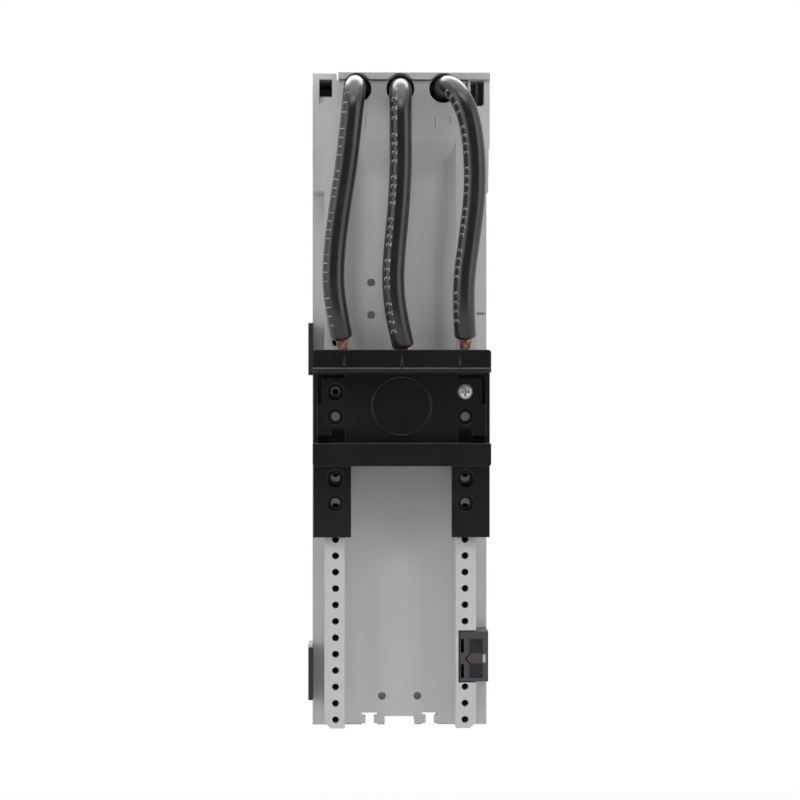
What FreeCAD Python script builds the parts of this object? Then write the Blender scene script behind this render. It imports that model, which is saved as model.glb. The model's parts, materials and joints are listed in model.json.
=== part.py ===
import FreeCAD, Part
import math
import os

# Busbar adapter, in millimetres. X runs to the right, Y from the front to the busbars, Z up.
# The origin is on the busbars' front face, at mid-width and at the middle busbar.

# Busbars that the adapter hangs on
bar_pitch = 60.0
bar_width = 20.0
bar_thin = 5.0
bar_thick = 10.0

# Housing, from the busbars outwards
body_width = 54.0
body_length = 200.6
cover_thickness = 2.0
cavity_depth = 10.0
floor_thickness = 2.0
strip_height = 12.0
side_wall = 4.2
front_wall = 2.0
bottom_wall = 4.6
cover_seat = 1.5
cover_play = 0.15

# Upper deck with the lead outlets, and the ramps down from it
deck_length = 23.0
deck_shift = 0.3
cavity_ramp = 17.0
band_ramp = 13.0
band_step = 9.0
outlet_pitch = 13.1
outlet_drop = 5.0
outlet_play = 0.9
outlet_depth = 12.0
deck_rib_length = 4.0
deck_rib_width = 0.4
deck_rib_rise = 0.15
deck_rib_inset = 2.0
deck_rib_up = 6.0

# Shallow trough between the strips, with sloping flanks and a ramp down from the deck
trough_depth = 4.0
trough_ramp = 7.8
trough_wall = 1.2
trough_foot_up = 0.64
trough_round = 5.0
trough_edge_round = 15.0
trough_edge_lift = 0.05
lower_depth = 10.0
lower_start = 78.0
lower_ramp = 9.0
flank_width = 6.9

# Perforated strips beside the trough
hole_inset = 7.25
hole_pitch = 5.0
hole_rows = 32
hole_diameter = 2.1
first_hole_up = 3.2
strip_inner_margin = 2.8
strip_outer_margin = 3.4
strip_chamfer = 1.9
strip_foot_up = 0.6

# Pilot holes in the trough floor
pilot_diameter = 2.4
pilot_depth = 2.0
pilot_wall = 1.2
upper_pilot_x = -8.9
upper_pilot_z = 31.1
upper_pilot_spacing = 10.0
lower_pilot_up = 9.1
lower_pilot_spacing = 11.0

# Notches in the lower edge
notch_centre = 9.3
notch_neck = 2.6
notch_height = 3.95
notch_fall = 0.5
notch_head = 4.8
notch_head_height = 0.9
gap_width = 9.3
gap_height = 2.84

# Clamp bar over the lead outlets
clamp_thickness = 2.0
clamp_gap = 0.5
clamp_lip = 2.2
clamp_proud = 1.8
clamp_front_drop = 0.28
clamp_tilt = 0.5
clamp_relief = 0.3
clamp_left_end = 18.9
clamp_depth = 14.0
clamp_slit = 0.6
slit_length = 4.5
corner_rise = 2.1
right_seat = 20.5

# Openings in the two upper corners
left_window_width = 3.9
left_window_height = 5.2
left_window_inset = 2.0
left_window_ramp = 2.4
left_ramp_depth = 1.0
right_window_width = 4.1
right_window_height = 8.0
right_window_inset = 1.8
window_drop = 2.2
left_window_depth = 22.0
right_window_depth = 13.5
window_radius = 1.0
window_rib = 0.7
window_rib_inset = 1.5
window_rib_sink = 7.0

# Rail for the switching device
rail_height = 35.0
rail_depth = 7.5
rail_inset = 0.2
rail_shift = 0.3
rail_web = 3.0
rail_wall = 1.5
lip_height = 6.8
lip_thickness = 1.6
lip_round = 1.0
bead_height = 1.4
bead_rise = 0.4
leg_overlap = 1.65
leg_length = 21.8
rail_below_deck = 61.8
first_rail_hole = 12.6
rail_hole_drops = (0.0, 7.5, 26.25, 33.75)
rail_hole_diameter = 2.7
counterbore_diameter = 5.2
counterbore_depth = 2.0
end_rib = 1.3
end_rib_rise = 0.6
ring_radius = 9.0
ring_width = 0.45
ring_rise = 0.25
ring_up = 0.6
wedge_width = 0.9
wedge_height = 3.4
wedge_rise = 0.7
wedge_pitch = 17.3
wedge_gap = 0.4
guide_depth = 2.0
guide_width = 1.6
guide_play = 0.35

# Slots in the corners of the rail's channel
corner_slot = 1.3
corner_slot_drop = 9.1
corner_slot_run = 8.4
corner_slot_gap = 0.3
corner_slot_depth = 2.3
foot_slot_step = 4.0
foot_slot_high = 4.2
foot_slot_low = 2.2

# Rail screw
screw_head = 4.7
screw_head_height = 1.7
screw_shank = 1.9
screw_length = 12.0
drive_width = 0.7
drive_depth = 0.8
drive_length = 2.8
screw_dome = 5.0

# Couplers on the left side
coupler_height = 16.0
coupler_pitch = 100.0
upper_coupler_z = 15.8
coupler_proud = 1.2
coupler_rise = 6.0
coupler_depth = 6.0
coupler_over = 0.2
coupler_play = 0.2
coupler_rim = 1.2
coupler_groove = 0.4
tenon_height = 9.0
tenon_length = 3.0
tenon_thickness = 3.0
tenon_sink = 1.5
stop_height = 0.8

# Slot in the right side band
band_slot_height = 0.7
band_slot_length = 3.0
band_slot_depth = 1.2
band_slot_z = 26.9

# Latch on the right side
latch_top_up = 30.1
latch_height = 15.35
latch_strip_gap = 1.1
latch_side_gap = 0.15
latch_sink = 0.4
latch_play = 0.3
latch_travel = 3.0
latch_edge = 1.7
latch_window = 4.1
latch_window_height = 4.2
latch_window_depth = 7.0
latch_window_drop = 0.65
latch_slot = 1.0
latch_slot_inset = 0.4
tongue_height = 3.0
tongue_gap = 0.5
tongue_inset = 2.1
tongue_taper = 1.4
tongue_moat = 1.5
tongue_slit = 1.0
slit_margin = 0.25
side_hole_drop = 2.0
side_hole_fall = 2.0
side_run_fall = 4.2
latch_foot = 1.5
latch_neck = 2.0
latch_foot_width = 6.0

# Leads
lead_diameter = 6.7
core_diameter = 4.0
core_bare = 4.8
arc_share = 0.45
barrel_wall = 1.1
barrel_length = 7.5
barrel_play = 0.1
tab_lap = 1.0

# Conductors, clamp hooks and their springs
strip_thickness = 1.2
strip_play = 0.4
pad_width = 9.8
pad_height = 12.0
pad_step = 0.6
pad_play = 0.3
hook_width = 4.0
hook_thickness = 2.0
hook_gap = 0.7
hook_reach = 7.0
hook_finger = 1.8
hook_bite = 0.2
head_over = 0.8
head_thickness = 1.5
head_play = 0.4
slot_play = 0.4
spring_wire = 0.6
spring_play = 0.25
spring_turns = 3.0
turn_steps = 24

# Claws of the rear cover
claw_width = 5.0
claw_inset = 4.0
claw_thickness = 3.5
claw_finger = 3.8
claw_reach = 6.0
claw_gap = 0.6

# Lock slide under the lowest busbar
lock_width = 12.0
lock_length = 16.0
lock_thickness = 3.6
lock_nose = 3.6
lock_nose_width = 10.0
lock_nose_reach = 8.0
lock_chamfer = 3.2
lock_chamfer_drop = 2.2
lock_gap = 0.7
lock_travel = 5.0
lock_play = 0.3
lock_rail = 1.5
lock_lip = 1.6
grip_width = 6.0
grip_height = 2.0
grip_up = 3.0
lock_spring_length = 9.3
lock_spring_wire = 0.55
lock_spring_turns = 4.5

# Screws of the rear cover
boss_inset = 1.8
boss_diameter = 4.6
boss_web = 2.0
boss_pilot = 2.4
boss_top_drop = 12.0
boss_bottom_up = 10.6
boss_bar_drop = 2.0
cover_screw_shank = 2.2
cover_screw_length = 7.0
cover_screw_head = 4.4
cover_screw_head_height = 1.2
cover_screw_tip_gap = 0.5

# How far a cutter reaches past what it cuts
over = 1.0

# Values that follow from the sizes above
half_width = body_width / 2
lock_top = -bar_pitch - bar_width / 2 - lock_gap
lock_bottom = lock_top - lock_length
cavity_bottom = lock_bottom - lock_spring_length
bottom_z = cavity_bottom - bottom_wall
top_z = bottom_z + body_length
cover_y = -cover_thickness
floor_back_y = cover_y - cavity_depth
floor_y = floor_back_y - floor_thickness
strip_y = floor_y - strip_height
hole_x = half_width - hole_inset
strip_in = hole_x - strip_inner_margin
strip_out = hole_x + strip_outer_margin
deck_z = top_z - deck_length
deck_left = deck_shift - half_width
deck_right = deck_shift + half_width
trough_y = strip_y + trough_depth
lower_y = strip_y + lower_depth
lower_back_y = lower_y + floor_thickness
lower_z = deck_z - lower_start
notch_top = bottom_z + notch_height
roof_z = top_z - clamp_thickness - clamp_gap
cavity_x = half_width - side_wall
cover_x = cavity_x + cover_seat
cover_top = top_z - front_wall - clamp_thickness
outlet_z = top_z - outlet_drop
outlet_diameter = lead_diameter + 2 * outlet_play
first_row_z = bottom_z + first_hole_up
rail_back_y = strip_y
rail_front_y = rail_back_y - rail_web
lip_front_y = rail_front_y - rail_depth
rail_half = half_width - rail_inset
rail_left = rail_shift - rail_half
rail_right = rail_shift + rail_half
leg_inner = strip_in - leg_overlap
rail_row = round((deck_z - rail_below_deck - first_rail_hole - first_row_z) / hole_pitch)
rail_hole_z = first_row_z + rail_row * hole_pitch
rail_top = rail_hole_z + first_rail_hole
rail_bottom = rail_top - rail_height
channel_top = rail_top - lip_height
channel_bottom = rail_bottom + lip_height
leg_bottom = rail_bottom - leg_length
latch_top = bottom_z + latch_top_up
latch_bottom = latch_top - latch_height
latch_mid = (latch_top + latch_bottom) / 2
tongue_mid = latch_mid - latch_window_drop
slit_low = tongue_mid - tongue_height / 2 + slit_margin
slit_high = tongue_mid + tongue_height / 2 - slit_margin
latch_inner_x = strip_in + latch_strip_gap
latch_outer_x = half_width - latch_side_gap
tongue_tail = latch_outer_x - latch_edge
latch_front_y = strip_y + latch_sink
latch_back_y = floor_y - latch_play
latch_foot_x = cavity_x - latch_play - latch_travel - latch_foot
phase_x = (-outlet_pitch, 0.0, outlet_pitch)
strip_side = (1, 1, -1)
bar_z = (bar_pitch, 0.0, -bar_pitch)
coupler_z = (upper_coupler_z, upper_coupler_z - coupler_pitch)
lead_radius = lead_diameter / 2
barrel_radius = core_diameter / 2 + barrel_play + barrel_wall
spring_radius = math.hypot(hook_width, hook_thickness) / 2 + spring_play + spring_wire / 2
head_width = 2 * spring_radius + spring_wire
head_height = head_width + 2 * head_over
head_front_y = floor_back_y + head_play
strip_offset = head_width / 2 + strip_play
hook_rest = bar_thin - hook_bite
claw_x = cover_x - claw_inset
lock_back_y = cover_y - lock_play
lock_front_y = lock_back_y - lock_thickness
boss_x = cavity_x - boss_inset
boss_z = (
    top_z - boss_top_drop, bar_pitch / 2 - boss_bar_drop,
    -bar_pitch / 2 - boss_bar_drop, bottom_z + boss_bottom_up,
)

# Routes of the leads, from the crimp inside to the end of the insulation in front.
# Each point is measured from the middle of its outlet: right, away from the deck, up.
lead_routes = (
    (
        (0.0, -10.3, -15.5), (0.0, -10.3, -8.0), (0.0, -5.2, -0.6), (-0.7, 3.6, 1.1),
        (-1.1, 9.6, -4.1), (-2.0, 10.4, -12.8), (-3.3, 9.4, -24.3), (-5.4, 8.2, -37.2),
        (-7.0, 7.4, -49.6), (-7.4, 7.0, -60.6), (-6.0, 6.1, -69.4), (-4.7, 4.1, -76.2),
    ),
    (
        (0.0, -10.3, -15.5), (0.0, -10.3, -8.0), (0.0, -5.2, -0.6), (0.0, 3.4, 0.2),
        (-0.1, 9.2, -5.2), (-0.1, 10.0, -13.8), (0.0, 9.2, -24.3), (-0.6, 8.2, -36.6),
        (-1.8, 7.4, -48.6), (-2.5, 7.0, -59.8), (-1.3, 6.3, -69.6), (0.9, 4.1, -78.9),
    ),
    (
        (0.0, -10.3, -15.5), (0.0, -10.3, -8.0), (0.0, -5.2, -0.6), (0.7, 3.2, 0.9),
        (4.6, 8.6, -2.6), (7.7, 10.0, -10.6), (9.2, 9.2, -21.4), (9.2, 8.2, -33.8),
        (7.6, 7.4, -46.4), (6.0, 7.0, -58.4), (6.0, 6.2, -68.2), (6.6, 4.1, -76.0),
    ),
)


def vec(x, y, z):
    return FreeCAD.Vector(x, y, z)


def box(x0, x1, y0, y1, z0, z1):
    corner = vec(min(x0, x1), min(y0, y1), min(z0, z1))
    return Part.makeBox(abs(x1 - x0), abs(y1 - y0), abs(z1 - z0), corner)


def rod_y(x, z, diameter, y0, y1):
    return Part.makeCylinder(diameter / 2, y1 - y0, vec(x, y0, z), vec(0, 1, 0))


def rod_z(x, y, diameter, z0, z1):
    return Part.makeCylinder(diameter / 2, z1 - z0, vec(x, y, z0), vec(0, 0, 1))


def prism_x(points, x0, x1):
    wire = Part.makePolygon([vec(x0, y, z) for y, z in points + points[:1]])
    return Part.Face(wire).extrude(vec(x1 - x0, 0, 0))


def prism_y(points, y0, y1):
    wire = Part.makePolygon([vec(x, y0, z) for x, z in points + points[:1]])
    return Part.Face(wire).extrude(vec(0, y1 - y0, 0))


def prism_z(points, z0, z1):
    wire = Part.makePolygon([vec(x, y, z0) for x, y in points + points[:1]])
    return Part.Face(wire).extrude(vec(0, 0, z1 - z0))


def joined(shapes):
    return shapes[0].fuse(shapes[1:]).removeSplitter()


def without(shape, cutters):
    return shape.cut(cutters).removeSplitter()


def row_z(row):
    return first_row_z + row * hole_pitch


def coil(radius, wire, turns, height):
    # A coil of short straight runs from the origin along Z, with its wire inside the height.
    rise = height - wire
    count = round(turns * turn_steps)
    points = []
    for index in range(count + 1):
        angle = 2 * math.pi * index / turn_steps
        up = wire / 2 + rise * index / count
        points.append(vec(radius * math.cos(angle), radius * math.sin(angle), up))
    section = Part.Wire(Part.makeCircle(wire / 2, points[0], points[1] - points[0]))
    return Part.makePolygon(points).makePipeShell([section], True, False, 1)


def lead_points(number):
    x = phase_x[number]
    return [vec(x + right, strip_y - out, outlet_z + up) for right, out, up in lead_routes[number]]


def rounded_path(points):
    # Straight runs joined by arcs that are as large as their runs allow.
    edges = []
    radii = []
    start = points[0]
    for before, corner, after in zip(points, points[1:], points[2:]):
        back = before - corner
        ahead = after - corner
        turn = math.pi - back.getAngle(ahead)
        cut = arc_share * min(back.Length, ahead.Length)
        radius = cut / math.tan(turn / 2)
        radii.append(round(radius, 1))
        back.normalize()
        ahead.normalize()
        first = corner + back * cut
        last = corner + ahead * cut
        middle = (back + ahead).normalize()
        top = corner + middle * (radius / math.cos(turn / 2) - radius)
        edges.append(Part.LineSegment(start, first).toShape())
        edges.append(Part.Arc(first, top, last).toShape())
        start = last
    edges.append(Part.LineSegment(start, points[-1]).toShape())
    return Part.Wire(edges), radii


def lead(number):
    points = lead_points(number)
    path, radii = rounded_path(points)
    section = Part.Wire(Part.makeCircle(lead_radius, points[0], points[1] - points[0]))
    tube = path.makePipeShell([section], True, False)
    fill = tube.Volume / (math.pi * lead_radius**2 * path.Length)
    print("lead", number + 1, "length", round(path.Length, 1), "radii", radii, "fill", round(fill, 3))
    return tube


def bare_end(tip, inside):
    along = (tip - inside).normalize()
    return Part.makeCylinder(core_diameter / 2, core_bare, tip, along)


def lead_core(number):
    points = lead_points(number)
    return Part.makeCompound([bare_end(points[0], points[1]), bare_end(points[-1], points[-2])])


def outlet_cuts():
    back = strip_y + outlet_depth
    return [rod_y(x, outlet_z, outlet_diameter, strip_y - over, back) for x in phase_x]


def strips():
    solids = []
    foot_z = bottom_z + strip_foot_up
    for side in (-1, 1):
        foot = [
            (side * strip_in, foot_z), (side * (strip_out - strip_chamfer), foot_z),
            (side * strip_out, foot_z + strip_chamfer), (side * strip_out, deck_z),
            (side * strip_in, deck_z),
        ]
        solids.append(prism_y(foot, strip_y, floor_y))
    return solids


def deck():
    block = box(deck_left, deck_right, strip_y, floor_y, deck_z, roof_z)
    corner_end = -clamp_left_end - clamp_slit
    corner = box(deck_left, corner_end, strip_y, 0, roof_z, roof_z + corner_rise)
    band_foot = deck_z - band_ramp
    band = [
        (floor_y, band_foot), (floor_y - band_step, band_foot),
        (strip_y, deck_z), (floor_y, deck_z),
    ]
    solids = [
        block, corner, prism_x(band, deck_left, -strip_out), prism_x(band, strip_out, half_width),
    ]
    rib_x = outlet_pitch - deck_rib_inset
    rib_z = deck_z + deck_rib_up
    for side in (-1, 1):
        solids.append(box(side * rib_x, side * (rib_x - deck_rib_width), strip_y - deck_rib_rise, strip_y,
                          rib_z, rib_z + deck_rib_length))
    return solids


def trough():
    # Cutter with sloping flanks; its ramp starts with a wide round in the deck.
    flat = strip_in - flank_width
    front = strip_y - over
    low = bottom_z - over
    section = [
        (-strip_in, front), (-strip_in, strip_y), (-flat, trough_y),
        (flat, trough_y), (strip_in, strip_y), (strip_in, front),
    ]
    slope = math.atan2(trough_depth, trough_ramp)
    start_y = strip_y - trough_edge_lift
    reach = trough_edge_round * math.tan(slope / 2)
    centre = vec(-half_width, start_y + trough_edge_round, deck_z + reach)
    high, half, foot = [
        centre - vec(0, trough_edge_round * math.cos(turn), trough_edge_round * math.sin(turn))
        for turn in (0.0, slope / 2, slope)
    ]
    deep = trough_y + over
    deep_z = deck_z - (deep - start_y) / math.tan(slope)
    corners = [
        foot, vec(-half_width, deep, deep_z), vec(-half_width, deep, low),
        vec(-half_width, front, low), vec(-half_width, front, high.z), high,
    ]
    lines = [Part.makeLine(near, far) for near, far in zip(corners, corners[1:])]
    wire = Part.Wire([Part.Arc(high, half, foot).toShape()] + lines)
    side = Part.Face(wire).extrude(vec(2 * half_width, 0, 0))
    shape = prism_z(section, low, high.z).common(side)
    feet = [
        edge for edge in shape.Edges
        if abs(edge.BoundBox.YMin - trough_y) + edge.BoundBox.YLength < over / 2 and edge.BoundBox.ZMax > bottom_z
    ]
    return shape.makeFillet(trough_round, feet)


def lower_trough():
    front = strip_y - over
    low = bottom_z - over
    profile = [(front, low), (lower_y, low), (lower_y, lower_z - lower_ramp), (strip_y, lower_z), (front, lower_z)]
    return prism_x(profile, -strip_in, strip_in)


def trough_hollows():
    # The trough's form from behind, one wall away from its floor and flanks.
    slope = trough_depth / flank_width
    shift = floor_thickness * math.hypot(1, slope) - floor_thickness
    flat = strip_in - flank_width + shift / slope
    edge = strip_in - trough_wall
    inner_y = trough_y + floor_thickness
    edge_y = inner_y - slope * (edge - flat)
    section = [
        (-edge, floor_back_y), (-edge, edge_y), (-flat, inner_y),
        (flat, inner_y), (edge, edge_y), (edge, floor_back_y),
    ]
    step_z = lower_z + floor_thickness
    lower = box(-edge, edge, lower_back_y, floor_back_y, notch_top + floor_thickness, step_z)
    return [prism_z(section, step_z, deck_z), lower]


def cavity():
    slope = math.hypot(strip_height, cavity_ramp)
    lift = (slope * front_wall - cavity_ramp * floor_thickness) / strip_height
    profile = [
        (cover_y, cavity_bottom), (floor_back_y, cavity_bottom), (floor_back_y, deck_z - cavity_ramp + lift),
        (strip_y + front_wall, deck_z + lift), (strip_y + front_wall, roof_z - front_wall),
        (cover_y, roof_z - front_wall),
    ]
    recess = box(-cover_x, cover_x, cover_y, over, cavity_bottom - cover_play, cover_top)
    return [prism_x(profile, -cavity_x, cavity_x), recess] + trough_hollows()


def upper_windows():
    front = strip_y - over
    top = top_z - window_drop
    left = deck_left + left_window_inset
    low = top - left_window_height
    hole = box(left, left + left_window_width, front, strip_y + left_window_depth, low, top)
    slope = [
        (left, low + left_ramp_depth), (left + left_window_width, low + left_ramp_depth),
        (left + left_window_width, low), (left, low - left_window_ramp),
    ]
    ramp = prism_y(slope, front, strip_y + left_ramp_depth)
    right = deck_right - right_window_inset
    slot = box(right - right_window_width, right, front, strip_y + right_window_depth,
               top - right_window_height, top)
    lower_edges = [
        edge for edge in slot.Edges
        if edge.BoundBox.ZMax < top - right_window_height / 2 and edge.BoundBox.YLength > over
    ]
    slit = box(right_seat - clamp_slit, right_seat, front, strip_y + front_wall / 2,
               roof_z - slit_length, roof_z)
    return [hole, ramp, slot.makeFillet(window_radius, lower_edges), slit]


def window_rib_wall():
    # Thin wall that stands inside the right-hand opening.
    right = deck_right - right_window_inset - window_rib_inset
    low = top_z - window_drop - right_window_height
    return box(right - window_rib, right, strip_y + window_rib_sink, strip_y + right_window_depth + over,
               low - over, roof_z)


def strip_holes():
    front = strip_y - over
    back = floor_back_y + over
    margin = hole_diameter / 2 + latch_play
    cutters = []
    for side in (-1, 1):
        for row in range(hole_rows):
            z = row_z(row)
            behind_latch = side > 0 and latch_bottom - margin < z < latch_top + margin
            if not behind_latch:
                cutters.append(rod_y(side * hole_x, z, hole_diameter, front, back))
    return cutters


def pilot_places():
    return [
        (upper_pilot_x, trough_y, upper_pilot_z + upper_pilot_spacing / 2),
        (upper_pilot_x, trough_y, upper_pilot_z - upper_pilot_spacing / 2),
        (-lower_pilot_spacing / 2, lower_y, bottom_z + lower_pilot_up),
        (lower_pilot_spacing / 2, lower_y, bottom_z + lower_pilot_up),
    ]


def pilot_bosses():
    width = pilot_diameter + 2 * pilot_wall
    lap = floor_thickness / 2
    return [rod_y(x, z, width, y + lap, y + pilot_depth + pilot_wall) for x, y, z in pilot_places()]


def pilot_holes():
    return [rod_y(x, z, pilot_diameter, strip_y - over, y + pilot_depth) for x, y, z in pilot_places()]


def lower_notches():
    front = strip_y - over
    low = bottom_z - over
    cutters = [box(-gap_width / 2, gap_width / 2, front, over, low, bottom_z + gap_height)]
    for side in (-1, 1):
        near = side * (notch_centre - notch_neck / 2)
        far = side * (notch_centre + notch_neck / 2)
        cutters.append(box(near, far, front, lower_back_y, low, notch_top))
        inner = side * (notch_centre - notch_head / 2)
        outer = side * (notch_centre + notch_head / 2)
        cutters.append(box(inner, outer, front, lower_back_y, notch_top - notch_head_height, notch_top))
        cutters.append(box(inner, outer, lower_back_y, floor_back_y, low, notch_top))
        cutters.append(box(inner, outer, floor_back_y, over, low, notch_top - notch_fall))
    return cutters


def coupler_tenon(z, play):
    half = tenon_height / 2 + play
    front = floor_y + tenon_sink - play
    back = floor_y + tenon_sink + tenon_thickness + play
    return box(-half_width - coupler_proud, tenon_length + play - half_width, front, back, z - half, z + half)


def stop_block():
    low = coupler_z[1] + coupler_height / 2 + coupler_play
    return box(-half_width - coupler_proud, coupler_over - half_width, floor_y - coupler_rise,
               floor_y + coupler_depth, low, low + stop_height)


def band_slot():
    half = band_slot_height / 2
    back = floor_y + band_slot_depth
    return box(half_width - band_slot_length, half_width + over, floor_y - over, back,
               band_slot_z - half, band_slot_z + half)


def latch_bay():
    gap = box(latch_inner_x - latch_play, strip_out + over, strip_y - over, floor_y,
              latch_bottom - latch_play, latch_top + latch_play)
    half = latch_neck / 2 + latch_play
    far = latch_foot_x + latch_foot + latch_travel + latch_play
    slot = box(latch_foot_x - latch_play, far, floor_y - over, floor_back_y + over,
               latch_mid - half, latch_mid + half)
    run = box(tongue_tail, half_width + over, floor_y - over, over, slit_low - side_run_fall, slit_high)
    return [gap, slot, run]


def bosses():
    solids = []
    half = boss_web / 2
    for side in (-1, 1):
        for z in boss_z:
            solids.append(rod_y(side * boss_x, z, boss_diameter, floor_back_y, cover_y))
            solids.append(box(side * boss_x, side * cavity_x, floor_back_y, cover_y, z - half, z + half))
    return solids


def boss_holes():
    deep = cover_y - cover_screw_length
    return [rod_y(side * boss_x, z, boss_pilot, deep, cover_y) for side in (-1, 1) for z in boss_z]


def housing():
    base = box(-half_width, half_width, floor_y, 0, bottom_z, roof_z)
    middle = box(-strip_in, strip_in, strip_y, floor_y, bottom_z + trough_foot_up, deck_z)
    shell = without(joined([base, middle] + strips() + deck()), [trough(), lower_trough()] + cavity())
    shell = joined([shell, stop_block()] + bosses() + pilot_bosses())
    cutters = outlet_cuts() + upper_windows() + strip_holes() + pilot_holes() + lower_notches()
    cutters += [coupler_tenon(z, coupler_play) for z in coupler_z]
    shell = without(shell, cutters + [band_slot()] + latch_bay() + boss_holes())
    return joined([shell, window_rib_wall()])


def lead_clamp_bar():
    back = strip_y + clamp_depth
    low = top_z - clamp_thickness
    bar = box(-clamp_left_end, deck_right, strip_y, back, low, top_z)
    foot = box(-clamp_left_end, deck_right, strip_y + clamp_lip, back, roof_z, low)
    seat = box(right_seat, deck_right, strip_y, strip_y + clamp_lip, roof_z, low)
    front = strip_y - clamp_proud
    nose_low = low - clamp_front_drop
    nose_high = top_z - clamp_front_drop
    nose_side = [(front, nose_high), (front + clamp_tilt, nose_low), (strip_y, nose_low), (strip_y, nose_high)]
    nose = prism_x(nose_side, -clamp_left_end, deck_right)
    wide = outlet_diameter + 2 * clamp_relief
    reliefs = [rod_y(x, outlet_z, wide, front - over, strip_y) for x in phase_x]
    return without(joined([bar, foot, seat, nose]), outlet_cuts() + reliefs)


def claws():
    solids = []
    near = bar_thick + claw_gap
    far = near + claw_finger
    for z in bar_z:
        low = z + bar_width / 2 + claw_gap
        high = low + claw_thickness
        tip = low - claw_reach
        profile = [
            (cover_y, low), (near, low), (near, tip), (near + claw_finger / 2, tip),
            (far, low - claw_reach / 2), (far, high), (cover_y, high),
        ]
        for side in (-1, 1):
            solids.append(prism_x(profile, side * claw_x - claw_width / 2, side * claw_x + claw_width / 2))
    return solids


def hook_levels(z):
    low = z + bar_width / 2 + hook_gap
    return low, low + hook_thickness


def lock_guides():
    solids = []
    inner = lock_width / 2 + lock_play
    back = lock_front_y - lock_play
    front = back - lock_lip
    low = lock_bottom - lock_travel / 2
    for side in (-1, 1):
        solids.append(box(side * inner, side * (inner + lock_rail), front, cover_y, low, lock_top))
        solids.append(box(side * (inner - lock_lip), side * inner, front, back, low, lock_top))
    return solids


def cover_windows():
    cutters = []
    front = cover_y - over
    reach = hook_width / 2 + slot_play
    tall = pad_height / 2 + pad_play
    for x, z, side in zip(phase_x, bar_z, strip_side):
        low, high = hook_levels(z)
        cutters.append(box(x - reach, x + reach, front, over, low - slot_play, high + slot_play))
        outer = x + side * (strip_offset + strip_thickness + pad_play)
        inner = outer - side * (pad_width + 2 * pad_play)
        cutters.append(box(inner, outer, front, over, z - tall, z + tall))
    nose = lock_nose_width / 2 + lock_play
    nose_low = lock_top - lock_nose - lock_travel - lock_play
    cutters.append(box(-nose, nose, front, over, nose_low, lock_top + lock_play))
    return cutters


def rear_cover():
    edge = cover_x - cover_play
    plate = box(-edge, edge, cover_y, 0, cavity_bottom, cover_top - cover_play)
    cutters = cover_windows()
    sink = cover_screw_head + 2 * cover_play
    for side in (-1, 1):
        for z in boss_z:
            cutters.append(rod_y(side * boss_x, z, boss_pilot + cover_play, cover_y - over, over))
            cutters.append(rod_y(side * boss_x, z, sink, -cover_screw_head_height, over))
    return without(joined([plate] + claws() + lock_guides()), cutters)


def cover_screws():
    screws = []
    top = -cover_play
    tip = cover_y - cover_screw_length + cover_screw_tip_gap
    half = drive_width / 2
    for side in (-1, 1):
        for z in boss_z:
            x = side * boss_x
            head = rod_y(x, z, cover_screw_head, -cover_screw_head_height, top)
            shank = rod_y(x, z, cover_screw_shank, tip, -cover_screw_head_height)
            slot = box(x - cover_screw_head, x + cover_screw_head, top - drive_depth, 0, z - half, z + half)
            screws.append(without(joined([head, shank]), [slot]))
    return Part.makeCompound(screws)


def rail_corner_slots():
    front = rail_front_y - over
    back = rail_front_y + corner_slot_depth
    top = channel_top - corner_slot_gap
    cutters = []
    for side in (-1, 1):
        edge = rail_shift + side * (rail_half - end_rib)
        arm = edge - side * corner_slot
        end = edge - side * corner_slot_run
        step = edge - side * foot_slot_step
        cutters.append(box(edge, arm, front, back, top - corner_slot_drop, top))
        cutters.append(box(arm, end, front, back, top - corner_slot, top))
        cutters.append(box(step, end, front, back, channel_bottom, channel_bottom + foot_slot_high))
        cutters.append(box(edge, step, front, back, channel_bottom, channel_bottom + foot_slot_low))
    return cutters


def rail_wedges():
    wedges = []
    low = channel_top + bead_height + wedge_gap
    for index in (-1, 0, 1):
        x = rail_shift + index * wedge_pitch
        tip = vec(x, lip_front_y, low + wedge_height)
        left = vec(x - wedge_width / 2, lip_front_y, low)
        right = vec(x + wedge_width / 2, lip_front_y, low)
        front = vec(x, lip_front_y - wedge_rise, low)
        loops = ((left, right, tip), (left, front, right), (left, tip, front), (right, front, tip))
        faces = [Part.Face(Part.makePolygon(list(loop) + [loop[0]])) for loop in loops]
        wedges.append(Part.Solid(Part.Shell(faces)))
    return wedges


def rail_ring():
    z = (channel_top + channel_bottom) / 2 + ring_up
    disc = rod_y(rail_shift, z, 2 * ring_radius + ring_width, rail_front_y - ring_rise, rail_front_y)
    middle = rod_y(rail_shift, z, 2 * ring_radius - ring_width, rail_front_y - over, rail_front_y + over)
    return disc.cut(middle)


def rail_lip(low, high, round_z):
    # A lip whose two outer corners are rounded.
    lip = box(rail_left, rail_right, lip_front_y, lip_front_y + lip_thickness, low, high)
    corners = [
        edge for edge in lip.Edges
        if edge.BoundBox.YLength > lip_thickness / 2 and abs(edge.BoundBox.ZMax - round_z) < lip_thickness / 2
    ]
    return lip.makeFillet(lip_round, corners)


def rail_profile():
    upper = channel_top + rail_wall
    lower = channel_bottom - rail_wall
    bead_y = lip_front_y - bead_rise
    bead_top = channel_top + bead_height
    bead = [
        (lip_front_y, channel_top), (bead_y, channel_top + bead_rise),
        (bead_y, bead_top - bead_rise), (lip_front_y, bead_top),
    ]
    return [
        box(rail_left, rail_right, rail_front_y, rail_back_y, lower, upper),
        box(rail_left, rail_right, lip_front_y, rail_front_y, channel_top, upper),
        box(rail_left, rail_right, lip_front_y, rail_front_y, lower, channel_bottom),
        rail_lip(channel_top, rail_top, rail_top),
        rail_lip(rail_bottom, channel_bottom, rail_bottom),
        prism_x(bead, rail_left, rail_right),
    ]


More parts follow.
